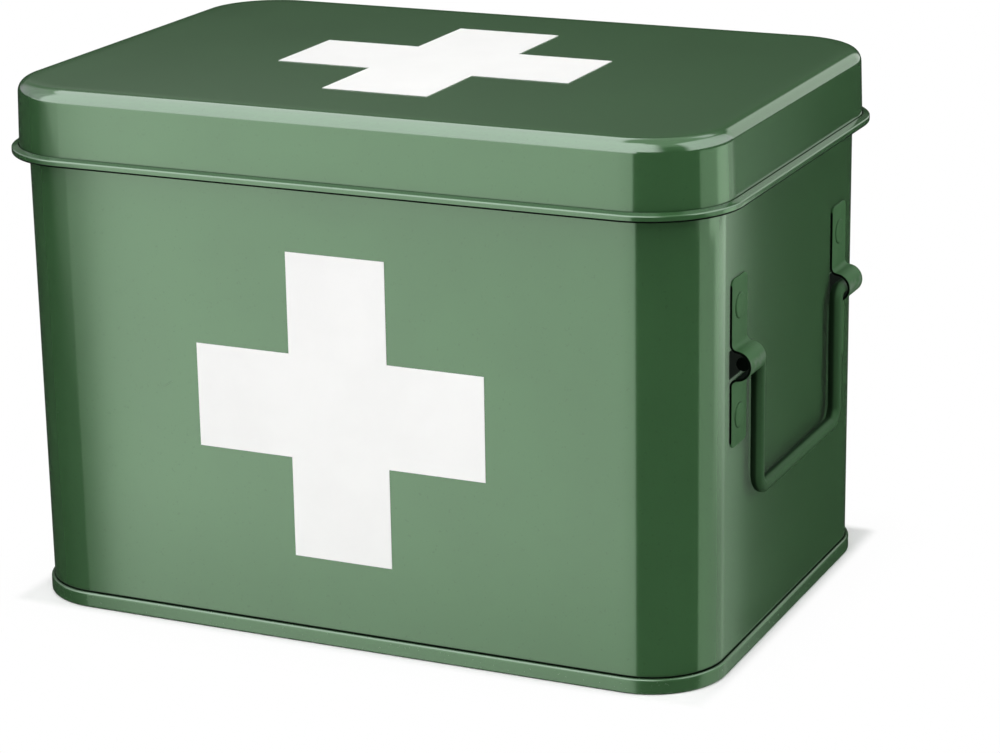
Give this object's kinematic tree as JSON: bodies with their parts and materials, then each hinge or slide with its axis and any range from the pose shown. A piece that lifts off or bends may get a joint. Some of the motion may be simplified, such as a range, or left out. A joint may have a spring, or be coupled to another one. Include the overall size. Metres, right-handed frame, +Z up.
{
  "type": "first aid box",
  "caption": "Rounded sheet-metal first aid box with a lift-off lid, printed white crosses, swinging wire side handles and a lift-out tray.",
  "frame": {"origin": "on the ground under the middle of the case", "axes": "+Z up, -Y towards the front with the cross, +X towards the side handle on the right"},
  "size_m": [0.2966, 0.2054, 0.2052],
  "materials": {
    "case_paint": "semi-gloss green enamel on sheet steel",
    "base_paint": "semi-gloss green enamel on sheet steel",
    "lid_paint": "semi-gloss green enamel on sheet steel",
    "cross_print": "white printed enamel",
    "bracket_paint": "semi-gloss green enamel on pressed steel",
    "rivet_paint": "semi-gloss green enamel over a steel rivet",
    "bail_paint": "semi-gloss green enamel on steel wire",
    "tray_paint": "semi-gloss green enamel on sheet steel",
    "divider_paint": "semi-gloss green enamel on sheet steel",
    "ledge_paint": "semi-gloss green enamel on sheet steel"
  },
  "bodies": {
    "case": {"case_wall": "case_paint", "case_base": "base_paint", "front_cross": "cross_print", "bracket_right_front": "bracket_paint", "bracket_right_rear": "bracket_paint", "bracket_left_front": "bracket_paint", "bracket_left_rear": "bracket_paint", "rivet_right_front_upper": "rivet_paint", "rivet_right_front_lower": "rivet_paint", "rivet_right_rear_upper": "rivet_paint", "rivet_right_rear_lower": "rivet_paint", "rivet_left_front_upper": "rivet_paint", "rivet_left_front_lower": "rivet_paint", "rivet_left_rear_upper": "rivet_paint", "rivet_left_rear_lower": "rivet_paint", "tray_ledge_right": "ledge_paint", "tray_ledge_left": "ledge_paint"},
    "lid": {"lid": "lid_paint", "lid_cross": "cross_print"},
    "tray": {"tray_pan": "tray_paint", "tray_divider": "divider_paint"},
    "right_bail": {"bail_right": "bail_paint"},
    "left_bail": {"bail_left": "bail_paint"}
  },
  "joints": [
    {"name": "lid_lift", "type": "slide", "parent": "case", "child": "lid", "axis": [0, 0, 1], "range_m": [0, 0.15]},
    {"name": "tray_lift", "type": "slide", "parent": "case", "child": "tray", "axis": [0, 0, 1], "range_m": [0, 0.06]},
    {"name": "right_bail_swing", "type": "hinge", "parent": "case", "child": "right_bail", "pos_m": [0.14395, 0, 0.117], "axis": [0, -1, 0], "range_deg": [0, 180]},
    {"name": "left_bail_swing", "type": "hinge", "parent": "case", "child": "left_bail", "pos_m": [-0.14395, 0, 0.117], "axis": [0, 1, 0], "range_deg": [0, 180]}
  ],
  "couplings": [
    {"joint": "tray_lift", "follows": "lid_lift", "ratio": 0.4}
  ]
}
